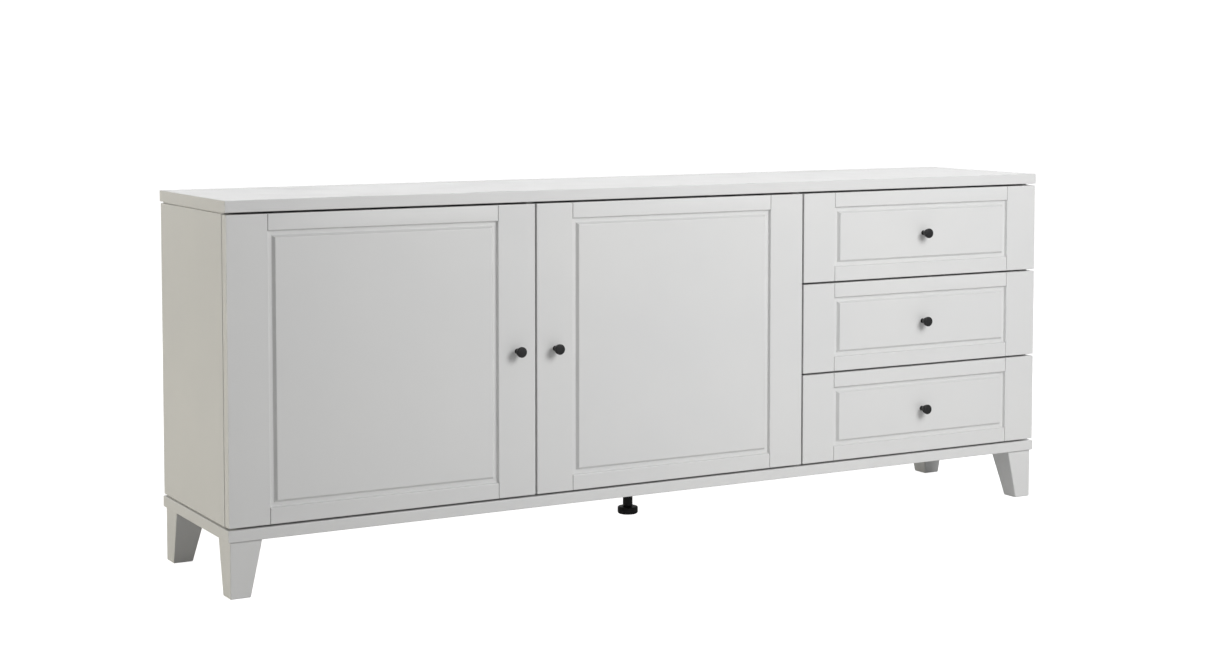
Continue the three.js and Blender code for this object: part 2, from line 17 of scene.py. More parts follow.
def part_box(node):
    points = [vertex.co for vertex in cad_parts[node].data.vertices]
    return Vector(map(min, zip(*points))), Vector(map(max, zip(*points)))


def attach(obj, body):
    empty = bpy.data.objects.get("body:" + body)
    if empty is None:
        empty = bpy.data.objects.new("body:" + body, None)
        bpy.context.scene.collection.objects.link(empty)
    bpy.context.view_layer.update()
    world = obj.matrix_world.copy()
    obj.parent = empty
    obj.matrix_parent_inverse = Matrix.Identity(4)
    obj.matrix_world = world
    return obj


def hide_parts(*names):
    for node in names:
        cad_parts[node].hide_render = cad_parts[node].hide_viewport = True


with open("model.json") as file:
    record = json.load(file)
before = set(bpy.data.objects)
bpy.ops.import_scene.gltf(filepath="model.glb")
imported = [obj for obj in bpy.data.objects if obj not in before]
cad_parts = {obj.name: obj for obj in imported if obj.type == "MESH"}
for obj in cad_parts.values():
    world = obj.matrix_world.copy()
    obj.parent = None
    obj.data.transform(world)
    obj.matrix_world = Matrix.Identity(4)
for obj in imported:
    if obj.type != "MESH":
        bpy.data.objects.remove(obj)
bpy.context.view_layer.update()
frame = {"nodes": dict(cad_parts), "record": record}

bl_info = {
    "name": "Lacquered sideboard",
    "version": (1, 0, 0),
    "blender": (4, 5, 0),
    "location": "View3D > Sidebar > Sideboard",
    "description": "Models a long sideboard with milled doors and drawer fronts",
    "category": "Add Mesh",
}

MM = 0.001
JOIN = 0.2 * MM                       # between fixed pieces that meet
HAIR = 0.01 * MM                      # stands for zero: radius on an axis, distance between doubles
FLAT_ANGLE = math.radians(1)          # edges that turn by less are dissolved
SOFTENED_ANGLE = math.radians(28)     # edges that turn by more are rounded
SHARP_ANGLE = math.radians(40)        # edges that turn by more keep a hard shade
SMALL_SHARP_ANGLE = math.radians(35)  # the same on knobs, pads and screws
FACING = 0.9                          # part of a normal along an axis when a face looks that way
FORWARDS, BACKWARDS, UP = (0, -1, 0), (0, 1, 0), (0, 0, 1)
BODIES = {
    node_name: body
    for body, node_names in frame["record"]["behaviour"]["bodies"].items()
    for node_name in node_names
}
DRAWERS = ("top", "middle", "bottom")
DOORS = ("door_left", "door_right")
LEAVES = (*DOORS, *(f"drawer_{which}" for which in DRAWERS))
FRONT_FACE_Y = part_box("door_left_front")[0].y
INNER_FACE_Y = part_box("door_left_front")[1].y


# ---------------------------------------------------------------- settings

def length(name, description, millimetres):
    return FloatProperty(
        name=name, description=description, default=millimetres * MM, unit="LENGTH", precision=4,
    )


def share(name, description, default):
    return FloatProperty(name=name, description=description, default=default, min=0, max=1)


def colour(name, description, default):
    return FloatVectorProperty(
        name=name, description=description, default=default, subtype="COLOR", min=0, max=1,
    )


def angle(name, description, degrees):
    return FloatProperty(
        name=name, description=description, default=math.radians(degrees), subtype="ANGLE",
    )


def power(name, description, watts):
    return FloatProperty(name=name, description=description, default=watts, subtype="POWER")


def glow(name, description, default):
    return FloatProperty(name=name, description=description, default=default, min=0)


class SideboardSizes(bpy.types.PropertyGroup):
    """Sizes of the milled fronts and of the softened edges"""

    stile: length("Stile", "Width of the frame's uprights", 80)
    rail: length("Rail", "Height of the frame's top and bottom", 30)
    ring_depth: length("Ring depth", "Depth of the milled ring", 6.5)
    ring_outer_slope: length("Outer slope", "Width of the slope beside the frame", 2)
    ring_floor: length("Ring floor", "Width of the ring's flat floor", 7.5)
    ring_inner_slope: length("Inner slope", "Width of the slope up to the field", 4.5)
    ring_round: length("Ring rounding", "Radius on the edges of the milled ring", 0.8)
    seam_width: length("Seam width", "Width of the V-line between stile and rail", 2)
    seam_depth: length("Seam depth", "Depth of the V-line between stile and rail", 2.6)
    board_round: length("Board rounding", "Radius on the edges of the long boards", 1.6)
    front_round: length("Front rounding", "Radius on the edges of doors and drawer fronts", 1.2)
    panel_round: length("Panel rounding", "Radius on the edges of the side panels", 0.8)
    inner_round: length("Inner rounding", "Radius on the edges of hidden boards", 0.4)
    leg_round: length("Leg rounding", "Radius on the edges of the legs", 2.2)
    shadow_line: length("Shadow line", "Height of the shadow line on the side panels", 3)
    shadow_depth: length("Shadow depth", "Depth of the shadow line on the side panels", 5)
    leg_foot: length("Leg foot", "Width of a leg at the floor", 40)
    turned_sides: IntProperty(
        name="Turned sides", description="Sides of a round piece", default=64, min=16, max=128,
    )


class SideboardFinish(bpy.types.PropertyGroup):
    """Colours and gloss of the finishes"""

    lacquer: colour("Lacquer", "Satin lacquer on all outer faces", (0.69, 0.692, 0.69))
    lacquer_roughness: share("Lacquer roughness", "Gloss of the lacquer, 0 is a mirror", 0.38)
    inside: colour("Inside", "Laminated board on hidden faces", (0.76, 0.76, 0.75))
    black_metal: colour("Knob coating", "Coating on the knobs", (0.0075, 0.0076, 0.008))
    black_plastic: colour("Foot plastic", "Plastic of the support foot", (0.004, 0.004, 0.0042))
    nickel: colour("Nickel", "Hinges, pins and screws", (0.62, 0.61, 0.59))
    beech_light: colour("Beech, light", "Early wood of the runners", (0.56, 0.37, 0.21))
    beech_dark: colour("Beech, dark", "Late wood and flecks of the runners", (0.38, 0.22, 0.11))


class SideboardStage(bpy.types.PropertyGroup):
    """Camera, floor and lights"""

    camera_at: FloatVectorProperty(
        name="Camera", description="Where the camera stands", default=(-2.238, -3.8175, 0.9772),
        subtype="XYZ",
    )
    camera_turn: angle("Turn", "Turn to the right", 29.632)
    camera_tilt: angle("Tilt", "Tilt below level", 3.6)
    lens: FloatProperty(name="Lens", description="Focal length in millimetres", default=63.24)
    rise: FloatProperty(name="Shift", description="Vertical shift of the lens", default=-0.1103)
    key_power: power("Key light", "Power of the softbox in front", 52)
    side_power: power("Side light", "Power of the softbox at the left", 25)
    side_tint: colour("Side tint", "Warmth of the softbox at the left", (1.0, 0.95, 0.80))
    back_power: power("Back light", "Power of the softbox behind", 28)
    sky: glow("Sky", "Light that the surroundings shed", 0.2)
    backdrop: glow("Backdrop", "Brightness of the surroundings when looked at", 1.05)
    floor_glow: glow("Floor glow", "Brightness added to the floor when looked at", 0.9)
    floor: colour("Floor", "Colour of the floor", (0.86, 0.86, 0.86))


# ---------------------------------------------------------------- finishes

def node(tree, kind, inputs=(), **settings):
    """A shader node with its settings, and its inputs set from (name, value or socket) pairs."""
    made = tree.nodes.new(kind)
    for key, value in settings.items():
        setattr(made, key, value)
    for key, value in inputs:
        if isinstance(value, bpy.types.NodeSocket):
            tree.links.new(value, made.inputs[key])
        else:
            made.inputs[key].default_value = value
    return made


def new_finish(name, base, roughness, metallic=0.0):
    material = bpy.data.materials.new(name)
    material.use_nodes = True
    tree = material.node_tree
    shader = tree.nodes["Principled BSDF"]
    shader.inputs["Base Color"].default_value = (*base, 1)
    shader.inputs["Roughness"].default_value = roughness
    shader.inputs["Metallic"].default_value = metallic
    place = node(tree, "ShaderNodeTexCoord").outputs["Object"]
    return material, tree, shader, place


def stretched(tree, place, scale):
    return node(tree, "ShaderNodeMapping", [("Vector", place), ("Scale", scale)]).outputs["Vector"]


def noise(tree, place, scale, detail=2.0, roughness=0.5, distortion=0.0):
    inputs = [
        ("Vector", place), ("Scale", scale), ("Detail", detail),
        ("Roughness", roughness), ("Distortion", distortion),
    ]
    return node(tree, "ShaderNodeTexNoise", inputs).outputs["Fac"]


def spread(tree, value, low, high, from_low=0.3, from_high=0.7):
    """Maps a value from its usual range onto low to high, and clamps it there."""
    inputs = [
        ("Value", value), ("From Min", from_low), ("From Max", from_high),
        ("To Min", low), ("To Max", high),
    ]
    return node(tree, "ShaderNodeMapRange", inputs).outputs["Result"]


def blended(tree, factor, first, second):
    """A colour between two, each a plain colour or a socket."""
    mix = node(tree, "ShaderNodeMix", data_type="RGBA")
    tree.links.new(factor, mix.inputs["Factor"])
    for identifier, value in (("A_Color", first), ("B_Color", second)):
        socket = next(s for s in mix.inputs if s.identifier == identifier)
        if isinstance(value, bpy.types.NodeSocket):
            tree.links.new(value, socket)
        else:
            socket.default_value = (*value, 1)
    return next(s for s in mix.outputs if s.identifier == "Result_Color")


def raised(tree, height, strength, distance, under=None):
    """A bump from a height, laid over the bump given as under."""
    inputs = [("Height", height), ("Strength", strength), ("Distance", distance)]
    if under is not None:
        inputs.append(("Normal", under))
    return node(tree, "ShaderNodeBump", inputs).outputs["Normal"]


def shaded(base, factor):
    return tuple(channel * factor for channel in base)


def lacquer_finish(finish):
    """Sprayed satin lacquer: orange peel, slow drift in gloss and tone, a little dust in the film."""
    base = tuple(finish.lacquer)
    rough = finish.lacquer_roughness
    material, tree, shader, place = new_finish("satin_lacquer", base, rough)
    links = tree.links
    drift = noise(tree, place, 3.2, 3, 0.55)
    warm = (base[0] * 1.012, base[1] * 1.008, base[2])
    tone = blended(tree, spread(tree, drift, 0, 1), shaded(base, 0.98), warm)
    dust = noise(tree, place, 1100, 1, 0.4)
    flecked = blended(tree, spread(tree, dust, 0, 0.25, 0.7, 0.78), tone, shaded(base, 0.8))
    links.new(flecked, shader.inputs["Base Color"])
    gloss = noise(tree, place, 14, 4, 0.6)
    handled = noise(tree, stretched(tree, place, (5, 5, 9)), 1.0, 5, 0.65, 0.8)
    even = spread(tree, gloss, rough - 0.035, rough + 0.045)
    smudge = spread(tree, handled, 0.0, 0.07, 0.52, 0.7)
    total = node(tree, "ShaderNodeMath", [(0, even), (1, smudge)], operation="ADD").outputs["Value"]
    links.new(total, shader.inputs["Roughness"])
    peel = raised(tree, noise(tree, place, 420, 2, 0.5), 0.07, 0.0004)
    wave = raised(tree, noise(tree, place, 28, 2, 0.5), 0.03, 0.002, peel)
    grain = raised(tree, noise(tree, place, 2600, 1, 0.4), 0.04, 0.00008, wave)
    links.new(grain, shader.inputs["Normal"])
    shader.inputs["Specular IOR Level"].default_value = 0.45
    shader.inputs["Coat Weight"].default_value = 0.25
    shader.inputs["Coat Roughness"].default_value = 0.22
    return material


def inside_finish(finish):
    """Matt laminated board with a fine pressed texture."""
    base = tuple(finish.inside)
    material, tree, shader, place = new_finish("matt_laminate", base, 0.55)
    links = tree.links
    mottle = spread(tree, noise(tree, place, 60, 4, 0.6), 0, 1)
    links.new(blended(tree, mottle, shaded(base, 0.975), base), shader.inputs["Base Color"])
    links.new(spread(tree, noise(tree, place, 22, 3), 0.5, 0.62), shader.inputs["Roughness"])
    inputs = [("Vector", place), ("Scale", 900.0)]
    pearl = node(tree, "ShaderNodeTexVoronoi", inputs, feature="SMOOTH_F1")
    links.new(raised(tree, pearl.outputs["Distance"], 0.12, 0.0001), shader.inputs["Normal"])
    return material


def knob_finish(finish):
    """Near-black coating over the uneven skin of cast metal."""
    base = tuple(finish.black_metal)
    material, tree, shader, place = new_finish("black_coating", base, 0.4)
    links = tree.links
    cast = noise(tree, place, 700, 3, 0.6)
    worn = noise(tree, place, 180, 3)
    skin = blended(tree, spread(tree, cast, 0, 1, 0.42, 0.62), base, shaded(base, 2.6))
    tone = blended(tree, spread(tree, worn, 0, 0.5), skin, shaded(base, 1.6))
    links.new(tone, shader.inputs["Base Color"])
    links.new(spread(tree, worn, 0.32, 0.5), shader.inputs["Roughness"])
    dimples = raised(tree, cast, 0.35, 0.0005)
    grain = raised(tree, noise(tree, place, 2400, 2, 0.6), 0.18, 0.0001, dimples)
    links.new(grain, shader.inputs["Normal"])
    shader.inputs["Specular IOR Level"].default_value = 0.24
    return material


def plastic_finish(finish):
    """Moulded plastic with a fine sparked texture."""
    base = tuple(finish.black_plastic)
    material, tree, shader, place = new_finish("moulded_plastic", base, 0.48)
    links = tree.links
    cloud = spread(tree, noise(tree, place, 35, 2), 0, 1)
    links.new(blended(tree, cloud, base, shaded(base, 1.25)), shader.inputs["Base Color"])
    links.new(spread(tree, noise(tree, place, 50, 3), 0.42, 0.54), shader.inputs["Roughness"])
    spark = node(tree, "ShaderNodeTexVoronoi", [("Vector", place), ("Scale", 1600.0)])
    links.new(raised(tree, spark.outputs["Distance"], 0.3, 0.0001), shader.inputs["Normal"])
    shader.inputs["Specular IOR Level"].default_value = 0.2
    return material


def nickel_finish(finish):
    """Nickel-plated pressed steel, faintly brushed along its length."""
    base = tuple(finish.nickel)
    material, tree, shader, place = new_finish("nickel_plate", base, 0.3, 1.0)
    links = tree.links
    brushed = noise(tree, stretched(tree, place, (900, 30, 900)), 1.0, 3, 0.6)
    links.new(spread(tree, brushed, 0.24, 0.38), shader.inputs["Roughness"])
    tone = spread(tree, noise(tree, place, 40, 3), 0, 1)
    links.new(blended(tree, tone, shaded(base, 0.9), base), shader.inputs["Base Color"])
    links.new(raised(tree, brushed, 0.06, 0.0001), shader.inputs["Normal"])
    return material


def beech_finish(finish):
    """Straight-grained beech with short dark flecks."""
    light, dark = tuple(finish.beech_light), tuple(finish.beech_dark)
    material, tree, shader, place = new_finish("waxed_beech", light, 0.55)
    links = tree.links
    along = stretched(tree, place, (70, 4, 70))
    figure = noise(tree, along, 1.0, 5, 0.55, 0.6)
    body = blended(tree, spread(tree, figure, 0, 1, 0.35, 0.65), light, shaded(light, 0.78))
    flecks = noise(tree, stretched(tree, place, (900, 90, 900)), 1.0, 1, 0.4)
    wood = blended(tree, spread(tree, flecks, 0, 0.7, 0.6, 0.72), body, dark)
    links.new(wood, shader.inputs["Base Color"])
    links.new(spread(tree, figure, 0.5, 0.62), shader.inputs["Roughness"])
    links.new(raised(tree, flecks, 0.15, 0.0002), shader.inputs["Normal"])
    return material


FINISHES = {
    "lacquer": lacquer_finish,
    "lacquer_inside": inside_finish,
    "black_metal": knob_finish,
    "black_plastic": plastic_finish,
    "steel": nickel_finish,
    "beech": beech_finish,
}
made_finishes = {}


def finish_of(slot):
    if slot not in made_finishes:
        made_finishes[slot] = FINISHES[slot](bpy.context.scene.sideboard_finish)
    return made_finishes[slot]


# ---------------------------------------------------------------- modelling by hand

def deselect():
    if bpy.context.mode != "OBJECT":
        bpy.ops.object.mode_set(mode="OBJECT")
    bpy.ops.object.select_all(action="DESELECT")


def take(piece):
    deselect()
    piece.select_set(True)
    bpy.context.view_layer.objects.active = piece


def edit(piece, kind):
    """Edit mode on one piece, with nothing selected."""
    take(piece)
    bpy.ops.object.mode_set(mode="EDIT")
    bpy.ops.mesh.select_mode(type=kind)
    bpy.ops.mesh.select_all(action="DESELECT")


def leave():
    """Back from edit mode."""
    bpy.ops.object.mode_set(mode="OBJECT")


def pick(piece, kind, test):
    """Edit mode on one piece, with the faces or vertices selected that pass the test."""
    edit(piece, kind)
    mesh = bmesh.from_edit_mesh(piece.data)
    items = {"FACE": mesh.faces, "VERT": mesh.verts}[kind]
    found = [item for item in items if test(item)]
    for item in found:
        item.select_set(True)
    mesh.select_flush_mode()
    bmesh.update_edit_mesh(piece.data)
    if not found:
        raise RuntimeError(f"nothing to select on {piece.name}")


def named(piece, name):
    piece.name = name
    piece.data.name = name
    return piece


def settle(piece):
    """Moves a piece's place and turn into its mesh."""
    take(piece)
    bpy.ops.object.transform_apply(location=True, rotation=True, scale=True)
    return piece


def box_between(name, low, high):
    deselect()
    low, high = Vector(low), Vector(high)
    bpy.ops.mesh.primitive_cube_add(size=1, location=(low + high) / 2, scale=high - low)
    return settle(named(bpy.context.active_object, name))


def apply_modifier(piece, kind, **settings):
    take(piece)
    modifier = piece.modifiers.new(kind.title(), kind)
    for key, value in settings.items():
        setattr(modifier, key, value)
    bpy.ops.object.modifier_apply(modifier=modifier.name)


def round_all_edges(piece, radius):
    edit(piece, "EDGE")
    bpy.ops.mesh.select_all(action="SELECT")
    bpy.ops.mesh.bevel(offset=radius, segments=4, affect="EDGES", profile=0.5, clamp_overlap=True)
    leave()


def soften(piece, radius, segments=3):
    """Rounds the edges that turn by more than a shallow angle."""
    apply_modifier(
        piece, "BEVEL", width=radius, segments=segments, limit_method="ANGLE",
        angle_limit=SOFTENED_ANGLE, use_clamp_overlap=True, miter_outer="MITER_SHARP",
    )


def flat_and_smooth(piece, sharp_angle=SHARP_ANGLE):
    """Smooth shading that keeps broad faces flat."""
    take(piece)
    bpy.ops.object.shade_smooth_by_angle(angle=sharp_angle)
    apply_modifier(piece, "WEIGHTED_NORMAL", weight=50, keep_sharp=True)


def bisect_all(piece, at, normal):
    edit(piece, "FACE")
    bpy.ops.mesh.select_all(action="SELECT")
    bpy.ops.mesh.bisect(plane_co=at, plane_no=normal)
    leave()


def cut_away(piece, cutters):
    for cutter in cutters:
        apply_modifier(piece, "BOOLEAN", operation="DIFFERENCE", object=cutter, solver="EXACT")
        bpy.data.objects.remove(cutter, do_unlink=True)


def turned(name, profile, centre, direction, sides):
    """A solid of revolution from (radius, height) points, its axis along direction from centre."""
    deselect()
    (radius, height), *rest = [(max(r, HAIR), h) for r, h in profile]
    bpy.ops.mesh.primitive_circle_add(
        vertices=sides, radius=radius, fill_type="NGON", location=(0, 0, height),
    )
    piece = settle(named(bpy.context.active_object, name))
    edit(piece, "FACE")
    bpy.ops.mesh.select_all(action="SELECT")
    for next_r, next_h in rest:
        rise = (0, 0, next_h - height)
        bpy.ops.mesh.extrude_region_move(TRANSFORM_OT_translate={"value": rise})
        factor = next_r / radius
        bpy.ops.transform.resize(value=(factor, factor, 1), center_override=(0, 0, next_h))
        radius, height = next_r, next_h
    bpy.ops.mesh.select_all(action="SELECT")
    bpy.ops.mesh.normals_make_consistent(inside=False)
    leave()
    piece.rotation_mode = "QUATERNION"
    piece.rotation_quaternion = Vector(UP).rotation_difference(Vector(direction))
    piece.location = centre
    return settle(piece)


def arc(centre_r, centre_h, radius, start, end, steps):
    """Points of an arc in a turned profile, angles in degrees from the radial direction."""
    points = []
    for step in range(steps + 1):
        turn = math.radians(start + (end - start) * step / steps)
        points.append((centre_r + radius * math.cos(turn), centre_h + radius * math.sin(turn)))
    return points


def joined(name, pieces):
    deselect()
    for piece in pieces:
        piece.select_set(True)
    bpy.context.view_layer.objects.active = pieces[0]
    bpy.ops.object.join()
    return named(pieces[0], name)


def copy_of(piece, name):
    other = piece.copy()
    other.data = piece.data.copy()
    bpy.context.scene.collection.objects.link(other)
    return named(other, name)


def put(piece, slot, body, *nodes):
    """Gives a finished piece its finish and its body, and hides the CAD nodes it stands for."""
    piece.data.materials.clear()
    piece.data.materials.append(finish_of(slot))
    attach(piece, body)
    if nodes:
        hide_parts(*nodes)
    return piece


def eased_copy(node_name, slot, radius, cutters=()):
    """A hidden board or fitting in its CAD shape, cut away where asked, its edges softened."""
    piece = copy_of(frame["nodes"][node_name], f"{node_name}_fine")
    piece.animation_data_clear()
    piece.parent = None
    piece.hide_render = piece.hide_viewport = False
    edit(piece, "VERT")
    bpy.ops.mesh.select_all(action="SELECT")
    bpy.ops.mesh.remove_doubles(threshold=HAIR)
    bpy.ops.mesh.dissolve_limited(angle_limit=FLAT_ANGLE)
    leave()
    cut_away(piece, cutters)
    soften(piece, radius, 2)
    flat_and_smooth(piece)
    return put(piece, slot, BODIES[node_name], node_name)


# ---------------------------------------------------------------- pieces

# Spare holes for the shelf pins, in steps above and below the pins of each board's face
PIN_PITCH = 32 * MM
PIN_HOLE_R = 2.5 * MM
PIN_HOLE_DEPTH = 8 * MM
PIN_HOLE_SIDES = 20
PIN_HOLES = (-3, -2, -1, 1, 2, 3)
PIN_BOARDS = {                   # by compartment and end
    ("left", "left"): "side_panel_left",
    ("left", "right"): "partition_left",
    ("middle", "left"): "partition_left",
    ("middle", "right"): "partition_right",
}

# Fronts, fittings, runners and small round pieces
SMALL_SIDES = 32                 # of a pad or a screw head
CUT_PAST = 2 * MM                # V-line cutters beyond a front's edge
CUP_HOLE_R = 17.65 * MM
FITTING_ROUND = 0.25 * MM
RUNNER_ROUND = 1.2 * MM

# Knobs; the shares are heights in the whole projection
KNOB_NECK_R = 4.9 * MM
KNOB_TAPER = 0.2 * MM
KNOB_EASE = 0.4 * MM
KNOB_RIM = 1.5 * MM
KNOB_DOME = 0.5 * MM
KNOB_NECK_SHARE = 0.24
KNOB_SHOULDER_SHARE = 0.78
KNOB_BELLY_STEPS = 10
KNOB_FACE = ((0.6, 0.3), (0.3, 0.06))    # shares: of the radius, of the dome below its top

# Support foot
SLEEVE_BORE_R = 5.3 * MM
SLEEVE_BORE_END = 52 * MM
SLEEVE_MOUTH = 0.6 * MM
SLEEVE_RIM = 1.2 * MM
DISC_LOWER_RIM = 4 * MM
DISC_UPPER_RIM = 2.2 * MM
THREAD_R = 4.9 * MM
THREAD_PITCH = 1.5 * MM
THREAD_DEPTH = 0.9 * MM

# Screws: radius and height of each kind's head, and where they stand
SCREW_HEADS = {
    "cup": (3.2 * MM, 1.1 * MM),
    "plate": (3.2 * MM, 1.3 * MM),
    "arm": (2.9 * MM, 1.0 * MM),
    "knob": (4.2 * MM, 1.9 * MM),
    "back": (3.0 * MM, 0.7 * MM),
}
SCREW_RIM = 0.45                 # edge radius, in the head's height
RECESS_LENGTH = 1.15             # of each crossing slot, in the head's radius
RECESS_WIDTH = 0.24
RECESS_FLOOR = 0.5               # level of its floor, in the head's height
RECESS_TALL = 1.1                # the cutter upwards from there, in the head's height
SCREW_TURNS_SEED = 7
CUP_SCREW_FROM_END = 4.5 * MM
PLATE_THICKNESS = 3 * MM
PLATE_SCREW_FROM_REAR = 22 * MM
PLATE_SCREW_FROM_END = 4.5 * MM
ARM_SCREWS_FROM_REAR = (15 * MM, 33 * MM)
BACK_SCREW_FROM_EDGE = 4 * MM
BACK_SCREW_FROM_END = 12 * MM
BACK_SCREW_ROWS = 6

# Bumper pads
PAD_R = 3 * MM
PAD_THICKNESS = 2.7 * MM
PAD_RIM = 0.5 * MM
PAD_FROM_END = 22 * MM


def pin_holes(compartment, end):
    """Cutters for the spare shelf-pin holes above and below the pins of one board's face."""
    holes = []
    face_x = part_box(PIN_BOARDS[compartment, end])[1 if end == "left" else 0].x
    for row in ("front", "back"):
        low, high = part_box(f"shelf_pin_{compartment}_{end}_{row}")
        centre = (low + high) / 2
        for step in PIN_HOLES:
            deselect()
            bpy.ops.mesh.primitive_cylinder_add(
                vertices=PIN_HOLE_SIDES, radius=PIN_HOLE_R, depth=2 * PIN_HOLE_DEPTH,
                location=(face_x, centre.y, centre.z + step * PIN_PITCH), rotation=(0, math.pi / 2, 0),
            )
            holes.append(settle(bpy.context.active_object))
    return joined(f"holes_{compartment}_{end}", holes)


def seam_cutters(low, high, inner_low, inner_high, sizes):
    """Cutters for the V-lines above and below the ring's uprights, on a front's face."""
    spans = (
        (low.z - CUT_PAST, inner_low.z + sizes.ring_outer_slope),
        (inner_high.z - sizes.ring_outer_slope, high.z + CUT_PAST),
    )
    cutters = []
    for x in (inner_low.x, inner_high.x):
        for z0, z1 in spans:
            deselect()
            bpy.ops.mesh.primitive_cylinder_add(vertices=4, radius=1, depth=z1 - z0)
            cutter = bpy.context.active_object
            cutter.scale = (sizes.seam_width / 2, sizes.seam_depth, 1)
            cutter.location = (x, low.y, (z0 + z1) / 2)
            cutters.append(settle(cutter))
    return cutters


def milled_front(node_name, sizes, recesses=()):
    """A one-piece front: rounded slab, ring milled round the field, crisp V-lines beside the rails."""
    low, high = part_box(node_name)
    piece = box_between(f"{node_name}_milled", low, high)
    round_all_edges(piece, sizes.front_round)
    inner_low = Vector((low.x + sizes.stile, low.y, low.z + sizes.rail))
    inner_high = Vector((high.x - sizes.stile, low.y, high.z - sizes.rail))
    for normal in ((1, 0, 0), UP):
        for corner in (inner_low, inner_high):
            bisect_all(piece, corner, normal)
    middle = (inner_low + inner_high) / 2

    def is_field(face):
        centre = face.calc_center_median()
        return face.normal.y < -FACING and (centre - middle).length < sizes.rail

    pick(piece, "FACE", is_field)
    for thickness, depth in (
        (sizes.ring_outer_slope, -sizes.ring_depth),
        (sizes.ring_floor, 0),
        (sizes.ring_inner_slope, sizes.ring_depth),
    ):
        bpy.ops.mesh.inset(thickness=thickness, depth=depth, use_even_offset=True)
    leave()
    cut_away(piece, recesses)
    soften(piece, sizes.ring_round)
    cut_away(piece, seam_cutters(low, high, inner_low, inner_high, sizes))
    flat_and_smooth(piece)
    return put(piece, "lacquer", BODIES[node_name], node_name)


class SIDEBOARD_OT_long_boards(bpy.types.Operator):
    """Models the top board and the base board"""

    bl_idname = "sideboard.long_boards"
    bl_label = "Long boards"

    def execute(self, context):
        sizes = context.scene.sideboard_sizes
        for name in ("top_board", "base_board"):
            piece = box_between(f"{name}_lacquered", *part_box(name))
            round_all_edges(piece, sizes.board_round)
            flat_and_smooth(piece)
            put(piece, "lacquer", "carcass", name)
        return {"FINISHED"}


class SIDEBOARD_OT_side_panels(bpy.types.Operator):
    """Models the two side panels with their shadow lines"""

    bl_idname = "sideboard.side_panels"
    bl_label = "Side panels"

    def execute(self, context):
        sizes = context.scene.sideboard_sizes
        for name, outwards in (("side_panel_left", -1), ("side_panel_right", 1)):
            low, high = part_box(name)
            core_low, core_high = low.copy(), high.copy()
            if outwards < 0:
                core_low.x += sizes.shadow_depth
            else:
                core_high.x -= sizes.shadow_depth
            piece = box_between(f"{name}_lacquered", core_low, core_high)
            line = sizes.shadow_line
            for z in (low.z + line, high.z - line):
                bisect_all(piece, (0, 0, z), UP)

            def is_outer_face(face):
                height = face.calc_center_median().z
                outer = face.normal.x * outwards > FACING
                return outer and low.z + line < height < high.z - line

            pick(piece, "FACE", is_outer_face)
            outset = (outwards * sizes.shadow_depth, 0, 0)
            bpy.ops.mesh.extrude_region_move(TRANSFORM_OT_translate={"value": outset})
            leave()
            if outwards < 0:
                cut_away(piece, [pin_holes("left", "left")])
            soften(piece, sizes.panel_round)
            flat_and_smooth(piece)
            put(piece, "lacquer", "carcass", name)
        return {"FINISHED"}


class SIDEBOARD_OT_hidden_boards(bpy.types.Operator):
    """Models partitions, back panel and shelves"""

    bl_idname = "sideboard.hidden_boards"
    bl_label = "Hidden boards"

    def execute(self, context):
        sizes = context.scene.sideboard_sizes
        holes = {}
        for face, board in PIN_BOARDS.items():
            holes.setdefault(board, []).append(face)
        boards = ("partition_left", "partition_right", "back_panel", "shelf_left", "shelf_middle")
        for name in boards:
            cutters = [pin_holes(compartment, end) for compartment, end in holes.get(name, ())]
            eased_copy(name, "lacquer_inside", sizes.inner_round, cutters)
        return {"FINISHED"}


class SIDEBOARD_OT_doors(bpy.types.Operator):
    """Models the two milled doors with recesses for the hinge cups"""

    bl_idname = "sideboard.doors"
    bl_label = "Doors"

    def execute(self, context):
        sizes = context.scene.sideboard_sizes
        for door in DOORS:
            recesses = []
            for level in ("upper", "lower"):
                low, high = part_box(f"{door}_hinge_cup_{level}")
                centre = (low + high) / 2
                deselect()
                bpy.ops.mesh.primitive_cylinder_add(
                    vertices=sizes.turned_sides, radius=CUP_HOLE_R, depth=2 * (INNER_FACE_Y - low.y),
                    location=(centre.x, INNER_FACE_Y, centre.z), rotation=(math.pi / 2, 0, 0),
                )
                recesses.append(settle(bpy.context.active_object))
            milled_front(f"{door}_front", sizes, recesses)
        return {"FINISHED"}


class SIDEBOARD_OT_drawer_fronts(bpy.types.Operator):
    """Models the three milled drawer fronts"""

    bl_idname = "sideboard.drawer_fronts"
    bl_label = "Drawer fronts"

    def execute(self, context):
        sizes = context.scene.sideboard_sizes
        for which in DRAWERS:
            milled_front(f"drawer_{which}_front", sizes)
        return {"FINISHED"}


def knob_profile(low, high):
    """Radius and height from the front's face: neck, bellied flare, soft rim, faintly domed face."""
    face_r = (high.x - low.x) / 2
    out = FRONT_FACE_Y - low.y
    waist = KNOB_NECK_R - KNOB_TAPER
    neck_end, shoulder = out * KNOB_NECK_SHARE, out * KNOB_SHOULDER_SHARE
    points = [(KNOB_NECK_R + KNOB_EASE, 0), (KNOB_NECK_R, KNOB_EASE), (waist, neck_end)]
    for step in range(1, KNOB_BELLY_STEPS + 1):
        t = step / KNOB_BELLY_STEPS
        belly = (t + math.sin(t * math.pi / 2)) / 2
        radius = KNOB_NECK_R + (face_r - KNOB_TAPER - KNOB_NECK_R) * belly
        points.append((radius, neck_end + (shoulder - neck_end) * t))
    points += arc(face_r - KNOB_RIM, out - KNOB_DOME - KNOB_RIM, KNOB_RIM, 10, 84, 6)
    points += [(face_r * across, out - KNOB_DOME * below) for across, below in KNOB_FACE]
    return [*points, (0, out)]


